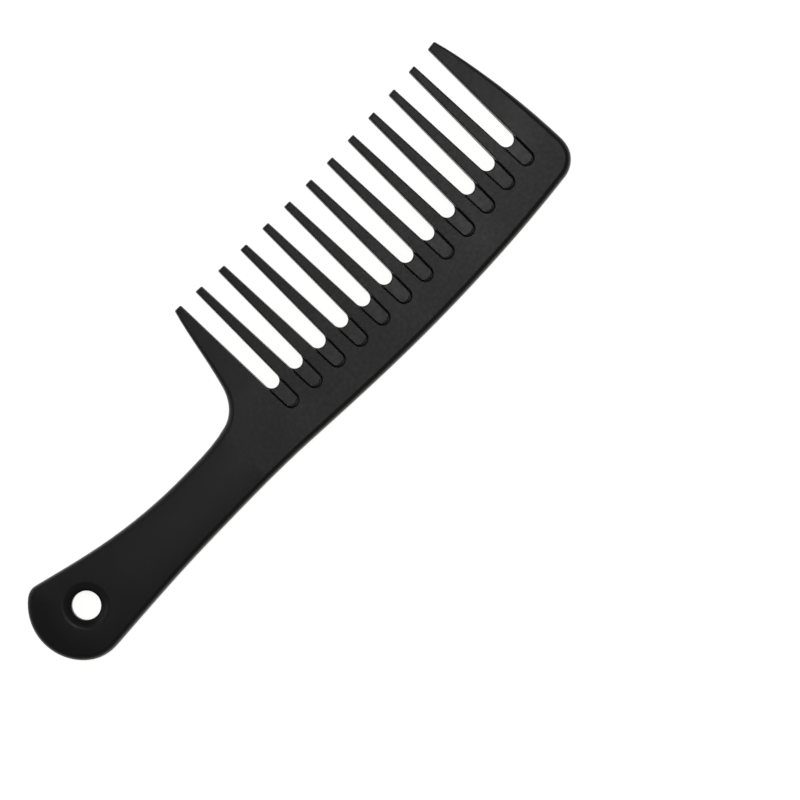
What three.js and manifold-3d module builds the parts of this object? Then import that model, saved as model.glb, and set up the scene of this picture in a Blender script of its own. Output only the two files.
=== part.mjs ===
// Wide tooth comb with a handle, lying flat on its broad side. Millimetres, +Z up.
//
// +X runs along the comb from the handle to the toe, +Y points the way the teeth point, and the
// comb lies on z = 0. The origin is under the middle of its bounding box.
//
// The comb is one plastic moulding: a flat handle with a hanging eye, a neck, a curved back, and
// thirteen tapered teeth whose roots are bridged by thin recessed webs. It is divided here at its
// natural changes of section, so that each region is a solid of its own that meets its neighbours
// face to face.

import * as THREE from "three";
import { mergeVertices } from "three/addons/utils/BufferGeometryUtils.js";
import Module from "manifold-3d";

const wasm = await Module();
wasm.setup();

// ---- driving dimensions ----------------------------------------------------------------------

const THICKNESS = 6.0; // of the handle, the neck and the back
const MID = THICKNESS / 2; // height of the mould's parting plane
const EDGE = 1.6; // radius on the outer edges
const EDGE_SEGMENTS = 3;
const CURVE_SEGMENTS = 8;

const PITCH = 10.2; // tooth to tooth
const SLOTS = 12;
const FIRST_SLOT_X = -4.8; // centre of the slot next to the handle
const SLOT_END_RADIUS = 2.4; // the closed end of a slot, in the back
const SLOT_TIP_Y = 31.0;
const SLOT_TIP_HALF_WIDTH = 3.65; // from a slot's centre to an inner tooth, at the tips
const HEEL_TIP_HALF_WIDTH = 2.9; // the same to the heel tooth, whose inner side is steeper
const TOE_TIP_HALF_WIDTH = 3.3; // and to the toe tooth

const ARCH_X = 53.0; // the back, the roots and the tips all curve about this station
const ROOT_Y = -12.3; // bottom of the open gap at that station
const ROOT_RADIUS = 557; // of the arc along the gaps' bottoms
const WEB_LENGTH = 9.0; // from a slot's closed end to the bottom of its open gap
const WEB_THICKNESS = 2.0;
const WEB_ARC = 2.5; // radius of a web's hollow top edge
const WEB_HORN = 2.0; // how far its corners climb the teeth

const THIN_FROM_Y = -6.0; // above this line the teeth get thinner towards their tips
const THIN_TO_Y = 33.0;
const TIP_THICKNESS = 2.6;

const EYE = { x: -101.4, y: -14.4 }; // the hanging hole in the handle
const EYE_RADIUS = 4.85; // at its waist
const EYE_DISH_RADIUS = 7.6; // where the dished mouth meets the broad face
const EYE_DISH_DEPTH = 2.1;
const EYE_SEGMENTS = 40;

const NECK_X = -28.0; // the handle ends here
const HEEL_TOOTH_Y = -2.0; // the heel tooth starts above the throat
const CUT_STEP = 0.25; // tooth cuts lie on this grid
const PAST = 10; // how far a cutter reaches beyond the material

// The comb's outer edge as knots [x, y, heading in degrees], anticlockwise from the heel tooth's
// tip round the handle and the back to the toe tooth's tip. Neighbours are joined by a curve close
// to a circular arc, and the tips' own arc closes it.
const OUTER_EDGE = [
  [-10.5, 32.7, -107], // heel tooth, outer corner of its tip
  [-17.7, 3.5, -107], // top of the throat
  [-26.6, -6.1, -165], // throat, handle side
  [-48.0, -7.7, -180], // handle at its narrowest
  [-84.3, -3.8, -192], // handle flaring
  [-108.5, 2.4, -195], // inner corner of the handle's end
  [-113.2, 1.4, -142],
  [-120.5, -12.8, -92], // handle's far end
  [-112.7, -28.6, -34],
  [-103.5, -30.9, 3], // outer corner of the handle's end
  [-55.0, -29.1, 0], // slight hollow along the back of the handle
  [-10.4, -30.0, -4],
  [52.0, -32.8, 0], // fullest point of the back
  [112.0, -29.9, 6],
  [118.6, -26.2, 52], // toe corner
  [120.5, -19.1, 91],
  [118.1, 12.1, 98],
  [114.2, 32.9, 105], // toe tooth, outer corner of its tip
];
const TIP_MIDDLE = { x: 52, y: 30.5 }; // lowest point of the tips' arc

// ---- solids ----------------------------------------------------------------------------------

// A closed three.js geometry as a solid that can be cut and joined.
function solidOf(geometry) {
  const bare = new THREE.BufferGeometry().setAttribute(
    "position",
    (geometry.index ? geometry.toNonIndexed() : geometry).getAttribute("position"),
  );
  const merged = mergeVertices(bare, 1e-4);
  return new wasm.Manifold(
    new wasm.Mesh({
      numProp: 3,
      vertProperties: merged.attributes.position.array,
      triVerts: new Uint32Array(merged.index.array),
    }),
  );
}

// A solid back as a flat-shaded three.js geometry.
function geometryOf(solid) {
  const mesh = solid.getMesh();
  const position = new Float32Array(mesh.numVert * 3);
  for (let i = 0; i < mesh.numVert; i++) {
    const start = i * mesh.numProp;
    position.set(mesh.vertProperties.subarray(start, start + 3), i * 3);
  }
  const geometry = new THREE.BufferGeometry()
    .setAttribute("position", new THREE.BufferAttribute(position, 3))
    .setIndex(new THREE.BufferAttribute(mesh.triVerts, 1))
    .toNonIndexed();
  geometry.computeVertexNormals();
  return geometry;
}

// A flat shape as a straight prism between two heights.
function prism(shape, bottom, top) {
  const geometry = new THREE.ExtrudeGeometry(shape, {
    depth: top - bottom,
    bevelEnabled: false,
    curveSegments: CURVE_SEGMENTS,
  });
  return solidOf(geometry.translate(0, 0, bottom));
}

// An upright box that reaches past both broad faces.
function block(xLow, xHigh, yLow, yHigh) {
  const geometry = new THREE.BoxGeometry(xHigh - xLow, yHigh - yLow, THICKNESS + 2 * PAST);
  return solidOf(geometry.translate((xLow + xHigh) / 2, (yLow + yHigh) / 2, MID));
}

// ---- the comb's layout -----------------------------------------------------------------------

const slotX = (k) => FIRST_SLOT_X + PITCH * k;

// Height of the gaps' bottoms, along an arc about the arch's station.
const rootY = (x) => ROOT_Y + ROOT_RADIUS - Math.sqrt(ROOT_RADIUS ** 2 - (x - ARCH_X) ** 2);

// Centre of a slot's round closed end.
const slotEndY = (x) => rootY(x) - WEB_LENGTH + SLOT_END_RADIUS;

// The x of a slot's wall at some height, side -1 for the wall towards the handle and 1 for the
// one towards the toe. Each wall runs straight from the slot's round end to the tips.
function slotWallX(k, side, y) {
  const atHeel = k === 0 && side < 0;
  const atToe = k === SLOTS - 1 && side > 0;
  const atTip = atHeel ? HEEL_TIP_HALF_WIDTH : atToe ? TOE_TIP_HALF_WIDTH : SLOT_TIP_HALF_WIDTH;
  const end = slotEndY(slotX(k));
  const share = (y - end) / (SLOT_TIP_Y - end);
  return slotX(k) + side * (SLOT_END_RADIUS + share * (atTip - SLOT_END_RADIUS));
}

// Adds a curve close to a circular arc from one knot to the next.
function arcTo(shape, [x0, y0, from], [x1, y1, to]) {
  const a0 = THREE.MathUtils.degToRad(from);
  const a1 = THREE.MathUtils.degToRad(to);
  const chord = Math.hypot(x1 - x0, y1 - y0);
  const turn = Math.abs(Math.atan2(Math.sin(a1 - a0), Math.cos(a1 - a0)));
  const radius = turn > 1e-3 ? chord / (2 * Math.sin(turn / 2)) : 0;
  const reach = radius ? (4 / 3) * Math.tan(turn / 4) * radius : chord / 3;
  shape.bezierCurveTo(
    x0 + reach * Math.cos(a0),
    y0 + reach * Math.sin(a0),
    x1 - reach * Math.cos(a1),
    y1 - reach * Math.sin(a1),
    x1,
    y1,
  );
}

function outerEdge() {
  const shape = new THREE.Shape();
  const [first, last] = [OUTER_EDGE[0], OUTER_EDGE[OUTER_EDGE.length - 1]];
  shape.moveTo(first[0], first[1]);
  for (let i = 1; i < OUTER_EDGE.length; i++) arcTo(shape, OUTER_EDGE[i - 1], OUTER_EDGE[i]);
  // The quadratic's control point sits twice as deep as the arc's lowest point.
  const ends = (first[1] + last[1]) / 2;
  shape.quadraticCurveTo(TIP_MIDDLE.x, 2 * TIP_MIDDLE.y - ends, first[0], first[1]);
  return shape;
}

// One slot, from its round end out past the tips.
function slotShape(k) {
  const x = slotX(k);
  const end = slotEndY(x);
  const mouth = SLOT_TIP_Y + PAST;
  const shape = new THREE.Shape();
  shape.moveTo(slotWallX(k, -1, mouth), mouth);
  shape.lineTo(x - SLOT_END_RADIUS, end);
  shape.absarc(x, end, SLOT_END_RADIUS, Math.PI, 2 * Math.PI, false);
  shape.lineTo(slotWallX(k, 1, mouth), mouth);
  shape.closePath();
  return shape;
}

// The web's own outline: the closed end of the slot, with a hollow top edge.
function webShape(k) {
  const x = slotX(k);
  const end = slotEndY(x);
  const top = rootY(x) + WEB_HORN;
  const arcAngle = Math.asin((WEB_ARC - WEB_HORN) / WEB_ARC);
  const shape = new THREE.Shape();
  shape.moveTo(slotWallX(k, -1, top), top);
  shape.lineTo(x - SLOT_END_RADIUS, end);
  shape.absarc(x, end, SLOT_END_RADIUS, Math.PI, 2 * Math.PI, false);
  shape.lineTo(slotWallX(k, 1, top), top);
  shape.absarc(x, rootY(x) + WEB_ARC, WEB_ARC, -arcAngle, Math.PI + arcAngle, true);
  shape.closePath();
  return shape;
}

// ---- the moulding ----------------------------------------------------------------------------

// The whole outline at full thickness, with its outer edges rounded.
function blank() {
  const geometry = new THREE.ExtrudeGeometry(outerEdge(), {
    depth: THICKNESS - 2 * EDGE,
    bevelThickness: EDGE,
    bevelSize: EDGE,
    bevelOffset: -EDGE,
    bevelSegments: EDGE_SEGMENTS,
    curveSegments: CURVE_SEGMENTS,
  });
  return solidOf(geometry.translate(0, 0, EDGE));
}

// The hanging eye's cutter: a straight waist between two dished mouths.
function eyeCutter() {
  const mouth = (side) => {
    const points = [];
    for (let i = 0; i <= EDGE_SEGMENTS; i++) {
      const angle = (Math.PI / 2) * (i / EDGE_SEGMENTS);
      const radius = EYE_DISH_RADIUS - (EYE_DISH_RADIUS - EYE_RADIUS) * Math.sin(angle);
      const height = MID - EYE_DISH_DEPTH * (1 - Math.cos(angle));
      points.push(new THREE.Vector2(radius, MID + side * height));
    }
    return points;
  };
  const profile = [
    new THREE.Vector2(0, -PAST),
    new THREE.Vector2(EYE_DISH_RADIUS, -PAST),
    ...mouth(-1),
    ...mouth(1).reverse(),
    new THREE.Vector2(EYE_DISH_RADIUS, THICKNESS + PAST),
    new THREE.Vector2(0, THICKNESS + PAST),
  ];
  const geometry = new THREE.LatheGeometry(profile, EYE_SEGMENTS);
  return solidOf(geometry.rotateX(Math.PI / 2).translate(EYE.x, EYE.y, 0));
}

// The wedge that thins the teeth on one broad side: side is 1 for the top, -1 for the bottom.
function thinningWedge(side) {
  const share = (THIN_TO_Y + PAST - THIN_FROM_Y) / (THIN_TO_Y - THIN_FROM_Y);
  const cut = ((THICKNESS - TIP_THICKNESS) / 2) * share;
  const face = MID + side * MID;
  const profile = new THREE.Shape();
  profile.moveTo(THIN_FROM_Y, face);
  profile.lineTo(THIN_TO_Y + PAST, face - side * cut);
  profile.lineTo(THIN_TO_Y + PAST, face + side * PAST);
  profile.lineTo(THIN_FROM_Y, face + side * PAST);
  profile.closePath();
  const xLow = NECK_X;
  const xHigh = slotX(SLOTS) + PAST;
  const geometry = new THREE.ExtrudeGeometry(profile, { depth: xHigh - xLow, bevelEnabled: false });
  // The profile is drawn in Y and Z, and extruded along X.
  const turn = new THREE.Matrix4().makeBasis(
    new THREE.Vector3(0, 1, 0),
    new THREE.Vector3(0, 0, 1),
    new THREE.Vector3(1, 0, 0),
  );
  return solidOf(geometry.applyMatrix4(turn).translate(xLow, 0, 0));
}

// ---- named regions ---------------------------------------------------------------------------

const plastic = new THREE.MeshStandardMaterial({
  name: "black_moulded_plastic",
  color: 0x2a2a2a,
  roughness: 0.5,
  metalness: 0,
});

const comb = new THREE.Group();
comb.name = "wide_tooth_comb";

function addNode(name, solid) {
  const mesh = new THREE.Mesh(geometryOf(solid), plastic);
  mesh.name = name;
  comb.add(mesh);
}

const number = (n) => String(n).padStart(2, "0");

let rest = blank().subtract(eyeCutter());
for (const side of [1, -1]) rest = rest.subtract(thinningWedge(side));
for (let k = 0; k < SLOTS; k++) rest = rest.subtract(prism(slotShape(k), -PAST, THICKNESS + PAST));

// Takes the part of the moulding inside a block as a node, and leaves the rest.
function cutOff(name, xLow, xHigh, yLow, yHigh) {
  const region = block(xLow, xHigh, yLow, yHigh);
  addNode(name, rest.intersect(region));
  rest = rest.subtract(region);
}

// The level at which a tooth starts: above the round ends of the slots beside it.
function toothStartY(...slots) {
  const level = Math.max(...slots.map((k) => slotEndY(slotX(k))));
  return Math.ceil(level / CUT_STEP) * CUT_STEP;
}

const LOW = { x: -140, y: -50 };
const HIGH = { x: 140, y: 50 };
const last = SLOTS - 1;

cutOff("heel_tooth", NECK_X, slotX(0), HEEL_TOOTH_Y, HIGH.y);
for (let k = 1; k < SLOTS; k++) {
  cutOff("tooth_" + number(k), slotX(k - 1), slotX(k), toothStartY(k - 1, k), HIGH.y);
}
cutOff("toe_tooth", slotX(last), HIGH.x, toothStartY(last), HIGH.y);
cutOff("handle", LOW.x, NECK_X, LOW.y, HIGH.y);
cutOff("neck", NECK_X, slotX(0), LOW.y, HEEL_TOOTH_Y);
addNode("back", rest);

for (let k = 0; k < SLOTS; k++) {
  const low = MID - WEB_THICKNESS / 2;
  addNode("web_" + number(k + 1), prism(webShape(k), low, low + WEB_THICKNESS));
}

export default comb;
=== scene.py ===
"""Wide tooth comb: the looks of the moulding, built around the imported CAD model.

The comb is one injection moulding. It is moulded here in one go, upper half first, and the named
regions are then cut from it, so that the surface runs unbroken from one region to the next.
Lengths in the helpers are in metres; MM turns millimetres into them.
"""

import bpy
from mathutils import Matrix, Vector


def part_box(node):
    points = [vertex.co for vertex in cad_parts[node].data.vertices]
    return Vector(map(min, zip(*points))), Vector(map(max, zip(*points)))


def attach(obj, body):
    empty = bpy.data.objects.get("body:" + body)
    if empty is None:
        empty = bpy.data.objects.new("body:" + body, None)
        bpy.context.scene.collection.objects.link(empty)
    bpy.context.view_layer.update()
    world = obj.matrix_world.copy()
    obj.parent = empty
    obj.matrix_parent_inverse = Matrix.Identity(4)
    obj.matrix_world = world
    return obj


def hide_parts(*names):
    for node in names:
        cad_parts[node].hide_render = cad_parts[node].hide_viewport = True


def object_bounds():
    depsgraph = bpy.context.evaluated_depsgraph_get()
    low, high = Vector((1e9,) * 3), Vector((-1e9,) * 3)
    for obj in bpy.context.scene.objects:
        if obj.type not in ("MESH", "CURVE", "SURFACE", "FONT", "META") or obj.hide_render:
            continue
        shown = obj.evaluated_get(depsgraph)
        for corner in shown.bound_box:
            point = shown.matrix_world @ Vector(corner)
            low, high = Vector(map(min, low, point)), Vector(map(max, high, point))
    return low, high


bl_info = {
    "name": "Wide Tooth Comb",
    "version": (1, 0, 0),
    "blender": (4, 5, 0),
    "location": "View3D > Sidebar > Comb",
    "description": "Builds a handled wide tooth comb in moulded black plastic",
    "category": "Object",
}

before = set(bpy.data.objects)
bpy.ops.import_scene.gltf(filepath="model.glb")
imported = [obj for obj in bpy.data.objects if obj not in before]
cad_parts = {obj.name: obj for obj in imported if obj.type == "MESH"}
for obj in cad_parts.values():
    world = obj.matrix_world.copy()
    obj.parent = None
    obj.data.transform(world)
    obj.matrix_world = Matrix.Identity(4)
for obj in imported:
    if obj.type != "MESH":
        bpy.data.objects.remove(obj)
CAD_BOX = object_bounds()

import math

import bmesh
import bpy
from bpy.props import FloatProperty, IntProperty, PointerProperty, StringProperty
from mathutils import Matrix, Vector
from mathutils.geometry import interpolate_bezier

BOXES = {name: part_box(name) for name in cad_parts}
MM = 0.001

# ---- layout, from the frame ------------------------------------------------------------------

THICKNESS = CAD_BOX[1].z - CAD_BOX[0].z
MID_Z = CAD_BOX[0].z + THICKNESS / 2
WEBS = sorted(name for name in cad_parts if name.startswith("web_"))
INNER_TEETH = sorted(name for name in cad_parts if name.startswith("tooth_"))
SLOTS = len(WEBS)
LAST = SLOTS - 1


def middle_x(node):
    low, high = BOXES[node]
    return (low.x + high.x) / 2


# The two outermost slots are lopsided, so the pitch is taken from the ones between them.
PITCH = (middle_x(WEBS[-2]) - middle_x(WEBS[1])) / (SLOTS - 3)
FIRST_SLOT_X = middle_x(WEBS[1]) - PITCH
NECK_X = BOXES["handle"][1].x

# ---- the comb's form, as in the CAD model ----------------------------------------------------

SLOT_RADIUS = 2.4 * MM  # a slot's closed end
SLOT_TIP_Y = 31.0 * MM
SLOT_TIP_HALF = 3.65 * MM  # from a slot's centre to an inner tooth, at the tips
HEEL_TIP_HALF = 2.9 * MM  # the same to the heel tooth
TOE_TIP_HALF = 3.3 * MM  # and to the toe tooth
TIP_X = 52.0 * MM  # the tips lie on a shallow bow about this station
TIP_Y = 30.5 * MM
TIP_BOW = 0.59  # per metre
EYE = Vector((-101.4 * MM, -14.4 * MM, 0))
BEYOND_TOE = CAD_BOX[1].x + MM

# Thickness: it eases into a taper at the roots, and falls away faster over the tips.
TAPER_EASE_Y = -6 * MM
TAPER_Y = 0.0
TAPER_RUN = 36 * MM  # the length that the whole taper takes
TIP_FALL_Y = 28.5 * MM
TIP_FALL = 9  # per metre
# Rows of edges that carry the taper, in millimetres; none may lie exactly at a tooth's tip.
TAPER_ROWS = [-6, -4, -2, 0, 28.5, 29.3, 30.1, 31.1, 32.1]

# Edges: the rounding changes from its root value to its tip value between two stations.
OUTER_RIM_SPAN = (-8 * MM, 30 * MM)
SLOT_RIM_SPAN = (-14 * MM, 0.0)
RIM_STEPS = ("ridge", 0, 15, 30, 45, 60, 75, 90, "flat")  # numbers are degrees round the edge
MOST_ROUNDED = 0.8  # of the half thickness, so that some wall is left
RIDGE_HALF_WIDTH = 0.06 * MM  # of the fine ridge along the parting line
FACE_RING = 0.12 * MM  # a narrow flat ring inside each rounded edge, which keeps the face flat
TIP_ARC_LEFT = 0.06 * MM  # what a tip corner's arc may shrink to on its way inwards
SHARP_ANGLE = math.radians(32)

# Webs
WEB_HORN = 2.0 * MM  # how far a web's corners climb the teeth
WEB_BURY = 0.1 * MM  # how far its sides run into the teeth
WEB_EDGE = 0.45 * MM  # rounding of its free edge
WEB_EDGE_LEAST = 0.2  # share of the height that the free edge keeps
WEB_CROWDING = 1.8  # how strongly the rows crowd towards the free edge

STRAIGHT = 1e-3  # a smaller turn, in radians, counts as none
ARC_STEP = 4  # degrees of turn from one point of the outline to the next, at most
LONGEST_STEP = 5 * MM

# Knots of the outer edge: x and y in millimetres, and the heading in degrees, anticlockwise from
# the heel tooth's tip round the handle and the back to the toe tooth's tip.
OUTER_EDGE = [
    (-10.5, 32.7, -107),  # heel tooth, outer corner of its tip
    (-17.7, 3.5, -107),  # top of the throat
    (-26.6, -6.1, -165),  # throat, handle side
    (-48.0, -7.7, -180),  # handle at its narrowest
    (-84.3, -3.8, -192),  # handle flaring
    (-108.5, 2.4, -195),  # inner corner of the handle's end
    (-113.2, 1.4, -142),
    (-120.5, -12.8, -92),  # handle's far end
    (-112.7, -28.6, -34),
    (-103.5, -30.9, 3),  # outer corner of the handle's end
    (-55.0, -29.1, 0),  # slight hollow along the back of the handle
    (-10.4, -30.0, -4),
    (52.0, -32.8, 0),  # fullest point of the back
    (112.0, -29.9, 6),
    (118.6, -26.2, 52),  # toe corner
    (120.5, -19.1, 91),
    (118.1, 12.1, 98),
    (114.2, 32.9, 105),  # toe tooth, outer corner of its tip
]

# The room that the comb mirrors: the sine of the angle above the floor, and the brightness there.
# It is pale just above the floor, has grey walls and a dark ceiling.
ROOM = [(0.06, 0.9), (0.14, 0.04), (0.34, 0.04), (0.5, 0.2), (0.76, 0.2), (0.87, 0.04)]

KEY_PLACE, KEY_SIZE = (0.2, 0.1, 1.3), (0.22, 0.6)
FILL_PLACE, FILL_SIZE = (-0.6, 1.1, 0.9), (1.2, 1.2)
CAMERA_AIM = Vector((20.35, -42.0, 0)) * MM
CAMERA_TURN = math.radians(-46)
SENSOR_WIDTH = 36
FLOOR_GAP = 0.02 * MM  # keeps the floor clear of the comb's lower face

SCENE = bpy.types.Scene
BLANK = "comb_blank"
PLASTIC = "injection_moulded_polypropylene"
# The webs' copy of the plastic, painted a lighter tone: a painted sheen on the recess floors.
WEB_PLASTIC_PAINTED_SHEEN = "injection_moulded_polypropylene_recess_painted_sheen"
TOLERANCE = 1e-6  # a thousandth of a millimetre
CUT_TOLERANCE = 1e-8


# ---- settings --------------------------------------------------------------------------------


def length(name, description, default):
    """A length that a user would change, shown in the scene's units."""
    return FloatProperty(
        name=name, description=description, default=default, unit="LENGTH", subtype="DISTANCE"
    )


def colour_text(name, description, default):
    """An sRGB colour as hex digits."""
    return StringProperty(name=name, description=description, default=default, maxlen=7)


class CombSizes(bpy.types.PropertyGroup):
    """Sizes of the moulding's finer form."""

    rim_radius: length("Rim radius", "Rounding of the outer edge", 2.0 * MM)
    rim_tip_radius: length("Rim radius at the tips", "The outer edge's rounding at the tips", 0.7 * MM)
    slot_radius: length("Slot edge radius", "Rounding of a recess's edge", 0.3 * MM)
    tooth_radius: length("Tooth edge radius", "Rounding of a tooth's edges", 0.6 * MM)
    draft: length("Draft", "How far a wall leans in between parting line and face", 0.22 * MM)
    parting_ridge: length("Parting ridge", "Height of the fine ridge where the mould met", 0.05 * MM)
    tip_corner: length("Tip corner radius", "Rounding of a tip's corners, seen from above", 0.45 * MM)
    tip_thickness: length("Tip thickness", "Thickness that the teeth taper to", 2.6 * MM)
    web_thickness: length("Web thickness", "Thickness between two facing recesses", 2.0 * MM)
    web_fillet: length("Web fillet", "Fillet round a recess's floor", 0.3 * MM)
    eye_waist: length("Eye radius", "Radius of the hanging eye's waist", 4.85 * MM)
    eye_waist_bend: length("Eye waist bend", "Rounding from the dish into the waist", 0.5 * MM)
    eye_lip: length("Eye lip radius", "Rounding of the dish's broad lip", 2.6 * MM)
    eye_mouth: length("Eye mouth radius", "Radius where the dish meets the face", 8.1 * MM)
    eye_segments: IntProperty(name="Eye segments", description="Steps round the eye", default=96)


class CombFinish(bpy.types.PropertyGroup):
    """Colours and gloss of the plastic."""

    plastic: colour_text("Plastic", "Colour of the moulded plastic", "#0D0D0D")
    plastic_bloom: colour_text("Plastic bloom", "Its paler cloudy patches", "#161616")
    rubbed: colour_text("Rubbed edges", "Where edges are rubbed by use", "#1C1C1C")
    # Painted sheen: the recess floors are the same plastic, painted lighter than the faces so that
    # they look lighter.
    recess: colour_text("Recess floor", "Colour of the recesses' floors", "#181818")
    roughness: FloatProperty(name="Roughness", description="Of the faces", default=0.38, min=0, max=1)
    ior: FloatProperty(name="IOR", description="Refractive index of polypropylene", default=1.49)
    grain: length("Grain", "Spacing of the mould's fine spark-eroded grain", 0.45 * MM)
    grain_depth: length("Grain depth", "How deep the grain is", 0.03 * MM)
    grain_strength: FloatProperty(name="Grain strength", description="Of its bump", default=0.12)
    gloss_spread: FloatProperty(name="Gloss spread", description="In roughness", default=0.05)
    mottle: length("Mottle", "Size of the blotches where the skin is glossier", 1.5 * MM)
    bloom: length("Bloom", "Size of the cloudy patches", 22 * MM)


class CombStage(bpy.types.PropertyGroup):
    """Floor, light and camera."""

    floor: colour_text("Floor", "Colour of the floor", "#FBFBF9")
    floor_cloud: colour_text("Floor cloud", "Its faint unevenness", "#F6F6F4")
    floor_size: length("Floor size", "Side of the square floor", 40.0)
    frame_width: length("Frame width", "Width of the picture at the comb", 0.2667)
    camera_height: length("Camera height", "Of the camera above the comb", 0.9)
    floor_glow: FloatProperty(name="Floor glow", description="Light through the floor", default=0.9)
    key_power: FloatProperty(name="Key light", description="In watts", default=1.7, unit="POWER")
    fill_power: FloatProperty(name="Fill light", description="In watts", default=2.0, unit="POWER")


# ---- mesh helpers ----------------------------------------------------------------------------


def slot_x(k):
    return FIRST_SLOT_X + PITCH * k


def slot_end_y(k):
    """Centre of a slot's round closed end."""
    return BOXES[WEBS[k]][0].y + SLOT_RADIUS


def wall_x(k, side, y):
    """A slot's wall: side -1 is the one towards the handle, 1 the one towards the toe."""
    at_tip = SLOT_TIP_HALF
    if k == 0 and side < 0:
        at_tip = HEEL_TIP_HALF
    if k == LAST and side > 0:
        at_tip = TOE_TIP_HALF
    share = (y - slot_end_y(k)) / (SLOT_TIP_Y - slot_end_y(k))
    return slot_x(k) + side * (SLOT_RADIUS + share * (at_tip - SLOT_RADIUS))


def tip_y(x):
    return TIP_Y + TIP_BOW * (x - TIP_X) ** 2


def outer_edge_points():
    """The outer edge, with a curve close to a circular arc between each two knots."""
    points = []
    for (x0, y0, from_deg), (x1, y1, to_deg) in zip(OUTER_EDGE, OUTER_EDGE[1:]):
        start, end = Vector((x0, y0, 0)) * MM, Vector((x1, y1, 0)) * MM
        a0, a1 = math.radians(from_deg), math.radians(to_deg)
        turn = abs(math.remainder(a1 - a0, 2 * math.pi))
        chord = (end - start).length
        reach = chord / 3
        if turn > STRAIGHT:
            reach = (4 / 3) * math.tan(turn / 4) * chord / (2 * math.sin(turn / 2))
        leaving = start + reach * Vector((math.cos(a0), math.sin(a0), 0))
        arriving = end - reach * Vector((math.cos(a1), math.sin(a1), 0))
        steps = max(math.ceil(math.degrees(turn) / ARC_STEP), math.ceil(chord / LONGEST_STEP), 2)
        points += interpolate_bezier(start, leaving, arriving, end, steps + 1)[:-1]
    return points + [end]


def slot_points(k):
    """A slot's edge, from the tip on its toe side round the closed end to the other tip."""
    steps = 20
    centre = Vector((slot_x(k), slot_end_y(k), 0))
    turned = [-math.pi * i / steps for i in range(steps + 1)]
    arc = [centre + SLOT_RADIUS * Vector((math.cos(a), math.sin(a), 0)) for a in turned]
    corners = [Vector((wall_x(k, side, SLOT_TIP_Y), 0, 0)) for side in (1, -1)]
    for corner in corners:
        corner.y = tip_y(corner.x)
    return [corners[0], *arc, corners[1]]


def ramp(value, low, high):
    """0 below low, 1 above high, straight between."""
    return min(1.0, max(0.0, (value - low) / (high - low)))


def thinned(x, y, sizes):
    """Share of the full thickness: all of it in the handle and up to the roots, then a taper
    that eases in, and a quicker fall over the last few millimetres of the tips."""
    slope = (THICKNESS - sizes.tip_thickness) / TAPER_RUN
    if y < TAPER_EASE_Y or x < NECK_X:
        return 1.0
    if y < TAPER_Y:
        drop = slope * (y - TAPER_EASE_Y) ** 2 / (2 * (TAPER_Y - TAPER_EASE_Y))
    else:
        drop = slope * (y - (TAPER_EASE_Y + TAPER_Y) / 2)
    if y > TIP_FALL_Y:
        drop += TIP_FALL * (y - TIP_FALL_Y) ** 2
    return 1 - drop / THICKNESS


def rim_radius(outer, y, sizes):
    """Rounding of the moulding's edge at y, on the outer edge or in a slot."""
    if outer:
        at_root, at_tip, span = sizes.rim_radius, sizes.rim_tip_radius, OUTER_RIM_SPAN
    else:
        at_root, at_tip, span = sizes.slot_radius, sizes.tooth_radius, SLOT_RIM_SPAN
    return at_root + ramp(y, *span) * (at_tip - at_root)


def inward(loop):
    """The step that moves both of a corner's edges into the face by one. It is limited where the
    corner is so sharp that the step would run away."""
    before = (loop.vert.co - loop.link_loop_prev.vert.co).normalized()
    after = (loop.link_loop_next.vert.co - loop.vert.co).normalized()
    normals = [Vector((-d.y, d.x, 0)) for d in (before, after)]
    return (normals[0] + normals[1]) / max(0.5, 1 + normals[0].dot(normals[1]))


def keep_side(bm, point, normal, geometry=None):
    """Cuts away what lies beyond a plane, on the side its normal points to, and closes the cut."""
    bmesh.ops.bisect_plane(
        bm,
        geom=geometry or bm.verts[:] + bm.edges[:] + bm.faces[:],
        dist=CUT_TOLERANCE,
        plane_co=point,
        plane_no=normal,
        clear_outer=True,
    )
    bmesh.ops.holes_fill(bm, edges=[e for e in bm.edges if e.is_boundary], sides=0)


def slice_at(bm, axis, places):
    """Adds a line of edges across the mesh at each place along an axis."""
    for place in places:
        bmesh.ops.bisect_plane(
            bm,
            geom=bm.verts[:] + bm.edges[:] + bm.faces[:],
            dist=CUT_TOLERANCE,
            plane_co=axis * place,
            plane_no=axis,
        )


def add_lower_half(bm):
    """Mirrors an upper half about the parting plane and lifts the whole to its height."""
    bmesh.ops.mirror(
        bm,
        geom=bm.verts[:] + bm.edges[:] + bm.faces[:],
        matrix=Matrix.Identity(4),
        merge_dist=TOLERANCE,
        axis="Z",
    )
    bmesh.ops.translate(bm, verts=bm.verts, vec=(0, 0, MID_Z))


def finished(bm, name, node, material):
    """Turns a closed bmesh into a piece that stands for a CAD node."""
    bmesh.ops.recalc_face_normals(bm, faces=bm.faces)
    if not all(edge.is_manifold for edge in bm.edges):
        raise RuntimeError(f"{name} isn't closed")
    mesh = bpy.data.meshes.new(name)
    bm.to_mesh(mesh)
    bm.free()
    mesh.shade_smooth()
    mesh.set_sharp_from_angle(angle=SHARP_ANGLE)
    mesh.materials.append(bpy.data.materials[material])
    piece = bpy.data.objects.new(name, mesh)
    bpy.context.collection.objects.link(piece)
    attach(piece, "root")
    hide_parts(node)
    return piece


def blank_copy():
    """A bmesh of the whole moulding, to cut a region from."""
    if BLANK not in bpy.data.meshes:
        raise RuntimeError("mould the blank first")
    bm = bmesh.new()
    bm.from_mesh(bpy.data.meshes[BLANK])
    return bm


# ---- the blank -------------------------------------------------------------------------------


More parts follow.
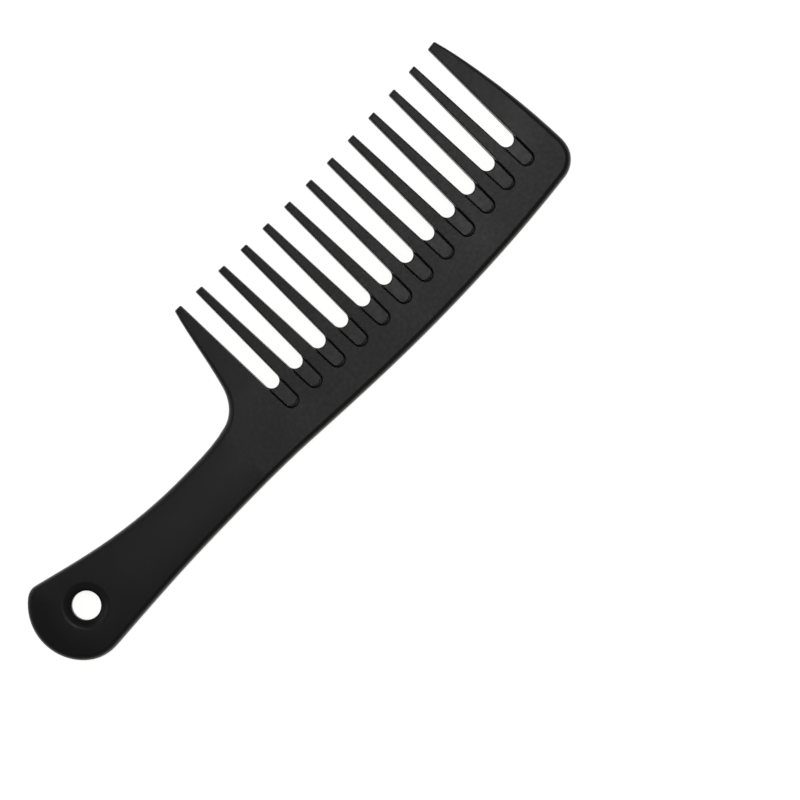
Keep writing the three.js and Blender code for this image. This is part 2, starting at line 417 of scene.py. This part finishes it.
class COMB_OT_blank(bpy.types.Operator):
    """Mould the comb's blank: the whole outline with its rims, walls and tapered teeth"""

    bl_idname = "comb.blank"
    bl_label = "Mould the Blank"

    def execute(self, context):
        sizes = context.scene.comb_sizes
        bm = bmesh.new()
        is_outer = bm.verts.layers.int.new("outer")
        order = bm.verts.layers.int.new("order")
        bm.verts.layers.float.new("rim")
        face, corners = self.outline(bm, is_outer)
        tips = [(loop.vert.co.copy(), inward(loop)) for loop in face.loops if loop.vert in corners]
        bmesh.ops.bevel(
            bm,
            geom=corners,
            offset=sizes.tip_corner,
            offset_type="OFFSET",
            affect="VERTICES",
            segments=3,
            profile=0.5,
            material=-1,
        )
        bm.faces.ensure_lookup_table()
        face = bm.faces[0]
        near = 1.05 * sizes.tip_corner  # the arc's own points, and no others
        paths = []
        for loop in face.loops:
            loop.vert[order] = len(paths)
            base = loop.vert.co.copy()
            tip = next((t for t in tips if (t[0] - base).length < near), None)
            paths.append((base, inward(loop), tip))
        self.raise_rim(bm, face, paths, sizes)
        bmesh.ops.triangulate(bm, faces=[f for f in bm.faces if len(f.verts) > 4])
        slice_at(bm, Vector((0, 1, 0)), [row * MM for row in TAPER_ROWS])
        for vert in bm.verts:
            vert.co.z *= thinned(vert.co.x, vert.co.y, sizes)
        add_lower_half(bm)
        bmesh.ops.recalc_face_normals(bm, faces=bm.faces)
        bm.to_mesh(bpy.data.meshes.new(BLANK))
        bm.free()
        return {"FINISHED"}

    def outline(self, bm, is_outer):
        """The comb's outline as one flat face, and the corners of the tooth tips in it."""
        verts = [bm.verts.new(point) for point in outer_edge_points()]
        for vert in verts:
            vert[is_outer] = 1
        corners = [verts[0], verts[-1]]
        for k in reversed(range(SLOTS)):
            slot = [bm.verts.new(point) for point in slot_points(k)]
            corners += [slot[0], slot[-1]]
            verts += slot
        return bm.faces.new(verts), corners

    def raise_rim(self, bm, face, paths, sizes):
        """Extrudes the flat outline up to the broad face, through the ridge at the parting line,
        the drafted wall and the rounded edge."""
        is_outer = bm.verts.layers.int["outer"]
        order = bm.verts.layers.int["order"]
        rim = bm.verts.layers.float["rim"]
        half = THICKNESS / 2
        for step in RIM_STEPS:
            made = bmesh.ops.extrude_face_region(bm, geom=[face])
            bmesh.ops.delete(bm, geom=[face], context="FACES_ONLY")
            face = next(g for g in made["geom"] if isinstance(g, bmesh.types.BMFace))
            for vert in face.verts:
                path = paths[vert[order]]
                base = path[0]
                radius = rim_radius(vert[is_outer], base.y, sizes)
                rise = min(radius / thinned(base.x, base.y, sizes), MOST_ROUNDED * half)
                offset = sizes.parting_ridge
                if step == "ridge":
                    height, rubbed = RIDGE_HALF_WIDTH, 0.0
                else:
                    turned = math.radians(90 if step == "flat" else step)
                    offset += sizes.draft * (1 - rise / half) + radius * (1 - math.cos(turned))
                    height = half - rise * (1 - math.sin(turned))
                    rubbed = math.sin(turned)
                if step == "flat":
                    offset += FACE_RING
                    rubbed = 0.0
                vert.co = self.moved_in(path, offset, sizes) + Vector((0, 0, height))
                vert[rim] = rubbed

    def moved_in(self, path, offset, sizes):
        """A point of the outline moved inwards. A tip corner's little arc shrinks to almost
        nothing on the way, and then follows its corner."""
        base, step, tip = path
        if tip is None:
            return base + step * offset
        corner, mitre = tip
        radius = sizes.tip_corner
        spoke = base - (corner + mitre * radius)
        shrunk = max(radius - offset, TIP_ARC_LEFT) / radius
        return corner + mitre * max(offset, radius) + spoke * shrunk


# ---- regions ---------------------------------------------------------------------------------


class COMB_OT_handle(bpy.types.Operator):
    """Cut the handle from the blank and dish its hanging eye"""

    bl_idname = "comb.handle"
    bl_label = "Handle"

    def execute(self, context):
        sizes = context.scene.comb_sizes
        bm = blank_copy()
        keep_side(bm, Vector((NECK_X, 0, 0)), Vector((1, 0, 0)))
        self.open_eye(bm, sizes)
        finished(bm, "handle_grip", "handle", PLASTIC)
        return {"FINISHED"}

    def open_eye(self, bm, sizes):
        """Opens both broad faces round the eye and spins its dished wall between them."""
        rim = bm.verts.layers.float["rim"]
        flat = {1: [], -1: []}
        for face in bm.faces:
            from_middle = face.calc_center_median().z - MID_Z
            if abs(abs(from_middle) - THICKNESS / 2) < TOLERANCE:
                flat[1 if from_middle > 0 else -1].append(face)
        profile = self.eye_profile(bm, sizes, rim)
        chain = [bm.edges.new(pair) for pair in zip(profile, profile[1:])]
        bmesh.ops.spin(
            bm,
            geom=profile + chain,
            cent=EYE,
            axis=(0, 0, 1),
            angle=2 * math.pi,
            steps=sizes.eye_segments,
            use_merge=True,
        )
        for faces in flat.values():
            bmesh.ops.delete(bm, geom=faces, context="FACES")
        for side in flat:
            level = MID_Z + side * THICKNESS / 2
            border = [
                e
                for e in bm.edges
                if e.is_boundary and all(abs(v.co.z - level) < TOLERANCE for v in e.verts)
            ]
            bmesh.ops.triangle_fill(
                bm, use_beauty=True, use_dissolve=False, edges=border, normal=(0, 0, side)
            )

    def eye_profile(self, bm, sizes, rim):
        """The eye's wall from the upper face down to the lower one: a broad rounded lip, a sloping
        dish, and a short waist with the parting ridge round its middle."""
        radius, height, slope = sizes.eye_mouth, THICKNESS / 2, 0.0
        waist = sizes.eye_waist + sizes.parting_ridge
        steps = 12
        dish, upright = math.radians(36), math.radians(90)
        dish_end = waist + sizes.eye_waist_bend * (1 - math.sin(dish))
        # Each bend has its radius, the slope it reaches, and how much its edge is rubbed.
        bends = [(sizes.eye_lip, dish, 1.0), (sizes.eye_waist_bend, upright, 0.4)]
        upper = [(radius + FACE_RING, height, 0.0)]
        for bend, reached, rubbed in bends:
            for i in range(steps + 1):
                turned = slope + (reached - slope) * i / steps
                across = bend * (math.sin(turned) - math.sin(slope))
                down = bend * (math.cos(slope) - math.cos(turned))
                upper.append((radius - across, height - down, rubbed))
            # The dish runs straight on to the bend into the waist.
            height = upper[-1][1] - (upper[-1][0] - dish_end) * math.tan(dish)
            radius, slope = dish_end, reached
        upper += [(waist, RIDGE_HALF_WIDTH, 0.0), (sizes.eye_waist, 0.0, 0.0)]
        lower = [(radius, -height, rubbed) for radius, height, rubbed in reversed(upper[:-1])]
        verts = []
        for radius, height, rubbed in upper + lower:
            vert = bm.verts.new(EYE + Vector((radius, 0, MID_Z + height)))
            vert[rim] = rubbed
            verts.append(vert)
        return verts


class COMB_OT_spine(bpy.types.Operator):
    """Cut the neck and the back from the blank"""

    bl_idname = "comb.spine"
    bl_label = "Neck and Back"

    def execute(self, context):
        self.neck()
        self.back()
        return {"FINISHED"}

    def neck(self):
        bm = blank_copy()
        keep_side(bm, Vector((NECK_X, 0, 0)), Vector((-1, 0, 0)))
        keep_side(bm, Vector((slot_x(0), 0, 0)), Vector((1, 0, 0)))
        keep_side(bm, Vector((0, BOXES["heel_tooth"][0].y, 0)), Vector((0, 1, 0)))
        finished(bm, "comb_neck", "neck", PLASTIC)

    def back(self):
        """The spine keeps the slots' closed ends and loses every tooth above them."""
        bm = blank_copy()
        keep_side(bm, Vector((slot_x(0), 0, 0)), Vector((-1, 0, 0)))
        slice_at(bm, Vector((1, 0, 0)), [slot_x(k) for k in range(1, SLOTS)])
        teeth = [*INNER_TEETH, "toe_tooth"]
        for k, tooth in enumerate(teeth):
            low, high = slot_x(k), slot_x(k + 1) if k < LAST else BEYOND_TOE
            column = [f for f in bm.faces if low < f.calc_center_median().x < high]
            geometry = dict.fromkeys(column)  # in the same order in every run, unlike a set
            for face in column:
                geometry.update(dict.fromkeys([*face.verts, *face.edges]))
            root = Vector((0, BOXES[tooth][0].y, 0))
            keep_side(bm, root, Vector((0, 1, 0)), list(geometry))
        finished(bm, "comb_back", "back", PLASTIC)


class COMB_OT_teeth(bpy.types.Operator):
    """Cut the heel tooth, the inner teeth and the toe tooth from the blank"""

    bl_idname = "comb.teeth"
    bl_label = "Teeth"

    def execute(self, context):
        rows = [("heel_tooth", NECK_X, slot_x(0))]
        rows += [(name, slot_x(k), slot_x(k + 1)) for k, name in enumerate(INNER_TEETH)]
        rows += [("toe_tooth", slot_x(LAST), BEYOND_TOE)]
        for name, low, high in rows:
            bm = blank_copy()
            keep_side(bm, Vector((0, BOXES[name][0].y, 0)), Vector((0, -1, 0)))
            keep_side(bm, Vector((low, 0, 0)), Vector((-1, 0, 0)))
            keep_side(bm, Vector((high, 0, 0)), Vector((1, 0, 0)))
            finished(bm, name + "_moulded", name, PLASTIC)
        return {"FINISHED"}


class COMB_OT_webs(bpy.types.Operator):
    """Lay the thin recessed webs between the roots of the teeth"""

    bl_idname = "comb.webs"
    bl_label = "Webs"

    def execute(self, context):
        sizes = context.scene.comb_sizes
        for k, name in enumerate(WEBS):
            finished(self.web(k, sizes), name + "_moulded", name, WEB_PLASTIC_PAINTED_SHEEN)
        return {"FINISHED"}

    def web(self, k, sizes):
        """Half a web as a grid, shaped to its slot, then mirrored about the parting plane."""
        across, along = 32, 28
        bm = bmesh.new()
        rim = bm.verts.layers.float.new("rim")
        bmesh.ops.create_grid(bm, x_segments=across, y_segments=along, size=1.0)
        for vert in bm.verts:
            vert.co = self.web_point(k, vert.co.x, (vert.co.y + 1) / 2, sizes)
            vert[rim] = 0.0
        skirt = bmesh.ops.extrude_edge_only(bm, edges=[e for e in bm.edges if e.is_boundary])
        for vert in (g for g in skirt["geom"] if isinstance(g, bmesh.types.BMVert)):
            vert.co.z = 0
        add_lower_half(bm)
        return bm

    def web_point(self, k, u, v, sizes):
        """Where a web's upper surface goes: u runs from wall to wall, v from the slot's closed
        end to the open gap."""
        high = BOXES[WEBS[k]][1].y
        root = high - WEB_HORN
        # Rows crowd towards the free edge, and columns towards the walls, where the form turns.
        v = 1 - (1 - v) ** WEB_CROWDING
        u = math.sin(u * math.pi / 2)
        low = slot_end_y(k) - math.sqrt(max(0.0, SLOT_RADIUS**2 - (SLOT_RADIUS * u) ** 2))
        half = (wall_x(k, 1, high) - wall_x(k, -1, high)) / 2
        top = root + half - math.sqrt(max(0.0, half**2 - (half * u) ** 2))
        y = low + v * (top - low)
        centre = (wall_x(k, 1, y) + wall_x(k, -1, y)) / 2
        reach = (wall_x(k, 1, y) - wall_x(k, -1, y)) / 2
        if y < slot_end_y(k):
            centre, reach = slot_x(k), SLOT_RADIUS
        wall_gap = reach * (1 - abs(u))
        end_gap = y - low
        edge_gap = top - y
        fillet = sizes.web_fillet
        lift = max(0.0, 1 - min(wall_gap, end_gap) / fillet)
        height = sizes.web_thickness / 2 + fillet * (1 - math.sqrt(max(0.0, 1 - lift**2)))
        if edge_gap < WEB_EDGE:
            rounded = math.sqrt(max(0.0, 1 - (1 - edge_gap / WEB_EDGE) ** 2))
            height *= max(WEB_EDGE_LEAST, rounded)
        at_wall = abs(u) > 0.999
        spread = 1 + WEB_BURY / reach if at_wall else 1.0
        return Vector((centre + reach * u * spread, y, height))


# ---- materials -------------------------------------------------------------------------------


def linear(hex_colour):
    """An sRGB hex colour as linear red, green, blue and alpha."""
    values = [int(hex_colour[i : i + 2], 16) / 255 for i in (1, 3, 5)]
    return tuple(c / 12.92 if c <= 0.04045 else ((c + 0.055) / 1.055) ** 2.4 for c in values) + (1,)


def empty_tree(owner):
    """The node tree of a material or a world, with nothing in it."""
    owner.use_nodes = True
    owner.node_tree.nodes.clear()
    return owner.node_tree


def add_node(tree, kind, inputs=None, **settings):
    """Adds a node with its settings. An input is a value, or a (node, output) pair to link."""
    node = tree.nodes.new(kind)
    for name, value in settings.items():
        setattr(node, name, value)
    for name, value in (inputs or {}).items():
        if isinstance(value, tuple) and isinstance(value[0], bpy.types.Node):
            tree.links.new(value[0].outputs[value[1]], node.inputs[name])
        else:
            node.inputs[name].default_value = value
    return node


class COMB_OT_materials(bpy.types.Operator):
    """Make the plastic's materials"""

    bl_idname = "comb.materials"
    bl_label = "Materials"

    def execute(self, context):
        finish = context.scene.comb_finish
        self.plastic(PLASTIC, finish.plastic, finish.plastic_bloom, finish.roughness, finish)
        # The webs take a copy of the plastic painted a lighter tone, a painted sheen on the recess
        # floors, and a little less rough.
        self.plastic(WEB_PLASTIC_PAINTED_SHEEN, finish.recess, finish.recess, finish.roughness - 0.04, finish)
        return {"FINISHED"}

    def plastic(self, name, dark, pale, roughness, finish):
        """Polypropylene from a lightly spark-eroded mould: satin, faintly cloudy where the melt
        cooled unevenly, a fine grain in the highlights, and edges rubbed paler by use."""
        tree = empty_tree(bpy.data.materials.new(name))
        place = add_node(tree, "ShaderNodeTexCoord")
        bloom = add_node(
            tree,
            "ShaderNodeTexNoise",
            {"Vector": (place, "Object"), "Scale": 1 / finish.bloom, "Detail": 4.0},
        )
        # The grain is really about 0.08 mm; it is drawn coarser so that it shows.
        grain = add_node(
            tree,
            "ShaderNodeTexNoise",
            {"Vector": (place, "Object"), "Scale": 1 / finish.grain, "Detail": 2.0},
        )
        colour = add_node(
            tree,
            "ShaderNodeMix",
            {"Factor": (bloom, "Fac"), "A": linear(dark), "B": linear(pale)},
            data_type="RGBA",
        )
        rim = add_node(tree, "ShaderNodeAttribute", attribute_name="rim")
        # Wear shows from six tenths of the way up a rounded edge, and never covers it fully.
        worn = add_node(
            tree,
            "ShaderNodeMapRange",
            {"Value": (rim, "Fac"), "From Min": 0.6, "From Max": 1.0, "To Max": 0.5},
        )
        rubbed = add_node(
            tree,
            "ShaderNodeMix",
            {"Factor": (worn, "Result"), "A": (colour, "Result"), "B": linear(finish.rubbed)},
            data_type="RGBA",
        )
        mottle = add_node(
            tree,
            "ShaderNodeTexNoise",
            {"Vector": (place, "Object"), "Scale": 1 / finish.mottle, "Detail": 3.0},
        )
        blend = add_node(
            tree, "ShaderNodeMath", {0: (bloom, "Fac"), 1: (mottle, "Fac")}, operation="ADD"
        )
        # The two noises' sum stays mostly between 0.6 and 1.4.
        uneven = add_node(
            tree,
            "ShaderNodeMapRange",
            {
                "Value": (blend, "Value"),
                "From Min": 0.6,
                "From Max": 1.4,
                "To Min": roughness - finish.gloss_spread,
                "To Max": roughness + finish.gloss_spread,
            },
        )
        bump = add_node(
            tree,
            "ShaderNodeBump",
            {
                "Height": (grain, "Fac"),
                "Strength": finish.grain_strength,
                "Distance": finish.grain_depth,
            },
        )
        shader = add_node(
            tree,
            "ShaderNodeBsdfPrincipled",
            {
                "Base Color": (rubbed, "Result"),
                "Roughness": (uneven, "Result"),
                "IOR": finish.ior,
                "Normal": (bump, "Normal"),
            },
        )
        add_node(tree, "ShaderNodeOutputMaterial", {"Surface": (shader, "BSDF")})


# ---- stage -----------------------------------------------------------------------------------


class COMB_OT_stage(bpy.types.Operator):
    """Set the pale floor, the soft lights and the camera above the comb"""

    bl_idname = "comb.stage"
    bl_label = "Stage"

    def execute(self, context):
        stage = context.scene.comb_stage
        context.scene.view_settings.view_transform = "Standard"
        self.floor(context, stage)
        self.world(context)
        self.light(context, "key_light", KEY_PLACE, KEY_SIZE, stage.key_power)
        self.light(context, "fill_light", FILL_PLACE, FILL_SIZE, stage.fill_power)
        self.camera(context, stage)
        return {"FINISHED"}

    def floor(self, context, stage):
        bm = bmesh.new()
        bmesh.ops.create_grid(bm, x_segments=1, y_segments=1, size=stage.floor_size / 2)
        bmesh.ops.translate(bm, verts=bm.verts, vec=(0, 0, CAD_BOX[0].z - FLOOR_GAP))
        mesh = bpy.data.meshes.new("floor")
        bm.to_mesh(mesh)
        bm.free()
        mesh.materials.append(self.opal_acrylic(stage))
        floor = bpy.data.objects.new("floor", mesh)
        context.collection.objects.link(floor)

    def opal_acrylic(self, stage):
        """Satin opal acrylic lit from below, as on a light table: it stays white under the comb,
        so that hardly a shadow shows."""
        material = bpy.data.materials.new("opal_acrylic_sheet")
        tree = empty_tree(material)
        place = add_node(tree, "ShaderNodeTexCoord")
        cloud = add_node(tree, "ShaderNodeTexNoise", {"Vector": (place, "Object"), "Scale": 4.0})
        tint = add_node(
            tree,
            "ShaderNodeMix",
            {"Factor": (cloud, "Fac"), "A": linear(stage.floor), "B": linear(stage.floor_cloud)},
            data_type="RGBA",
        )
        shader = add_node(
            tree,
            "ShaderNodeBsdfPrincipled",
            {
                "Base Color": (tint, "Result"),
                "Roughness": 0.6,
                "IOR": 1.49,
                "Emission Color": (tint, "Result"),
                "Emission Strength": stage.floor_glow,
            },
        )
        add_node(tree, "ShaderNodeOutputMaterial", {"Surface": (shader, "BSDF")})
        return material

    def world(self, context):
        """The dim room. Its dark ceiling is what the comb's flat faces mirror to someone who looks
        straight down."""
        world = bpy.data.worlds.new("studio")
        context.scene.world = world
        tree = empty_tree(world)
        place = add_node(tree, "ShaderNodeTexCoord")
        height = add_node(tree, "ShaderNodeSeparateXYZ", {"Vector": (place, "Generated")})
        glow = add_node(tree, "ShaderNodeValToRGB", {"Fac": (height, "Z")})
        steps = glow.color_ramp.elements
        for rise, brightness in ROOM:
            steps.new(rise).color = (brightness, brightness, brightness, 1)
        steps.remove(steps[0])
        steps.remove(steps[-1])
        sky = add_node(tree, "ShaderNodeBackground", {"Color": (glow, "Color"), "Strength": 1.0})
        add_node(tree, "ShaderNodeOutputWorld", {"Surface": (sky, "Background")})

    def light(self, context, name, place, size, power):
        """A softbox aimed at the comb."""
        lamp = bpy.data.lights.new(name, "AREA")
        lamp.shape = "RECTANGLE"
        lamp.size, lamp.size_y = size
        lamp.energy = power
        light = bpy.data.objects.new(name, lamp)
        light.location = place
        light.rotation_euler = Vector(place).to_track_quat("Z", "Y").to_euler()
        context.collection.objects.link(light)

    def camera(self, context, stage):
        """Straight above, turned so that the comb lies across the picture from its lower left
        to its upper right."""
        lens = bpy.data.cameras.new("camera")
        lens.sensor_width = SENSOR_WIDTH
        lens.lens = lens.sensor_width * stage.camera_height / stage.frame_width
        camera = bpy.data.objects.new("camera", lens)
        camera.location = CAMERA_AIM + Vector((0, 0, MID_Z + stage.camera_height))
        camera.rotation_euler = (0, 0, CAMERA_TURN)
        lens.clip_end = 100
        context.collection.objects.link(camera)
        context.scene.camera = camera


# ---- add-on ----------------------------------------------------------------------------------

STEPS = (
    COMB_OT_materials,
    COMB_OT_blank,
    COMB_OT_handle,
    COMB_OT_spine,
    COMB_OT_teeth,
    COMB_OT_webs,
    COMB_OT_stage,
)


class COMB_PT_panel(bpy.types.Panel):
    """The comb's settings, and its operators in the order they run"""

    bl_idname = "COMB_PT_panel"
    bl_label = "Wide Tooth Comb"
    bl_space_type = "VIEW_3D"
    bl_region_type = "UI"
    bl_category = "Comb"

    def draw(self, context):
        scene = context.scene
        for settings in (scene.comb_sizes, scene.comb_finish, scene.comb_stage):
            box = self.layout.box()
            for name in settings.__annotations__:
                box.prop(settings, name)
        for step in STEPS:
            self.layout.operator(step.bl_idname)


CLASSES = (CombSizes, CombFinish, CombStage, *STEPS, COMB_PT_panel)


def register():
    for cls in CLASSES:
        bpy.utils.register_class(cls)
    SCENE.comb_sizes = PointerProperty(type=CombSizes)
    SCENE.comb_finish = PointerProperty(type=CombFinish)
    SCENE.comb_stage = PointerProperty(type=CombStage)


def unregister():
    del SCENE.comb_stage
    del SCENE.comb_finish
    del SCENE.comb_sizes
    for cls in reversed(CLASSES):
        bpy.utils.unregister_class(cls)


def main():
    register()
    bpy.ops.comb.materials()
    bpy.ops.comb.blank()
    bpy.ops.comb.handle()
    bpy.ops.comb.spine()
    bpy.ops.comb.teeth()
    bpy.ops.comb.webs()
    bpy.ops.comb.stage()
    bpy.data.meshes.remove(bpy.data.meshes[BLANK])


if __name__ == "__main__":
    main()
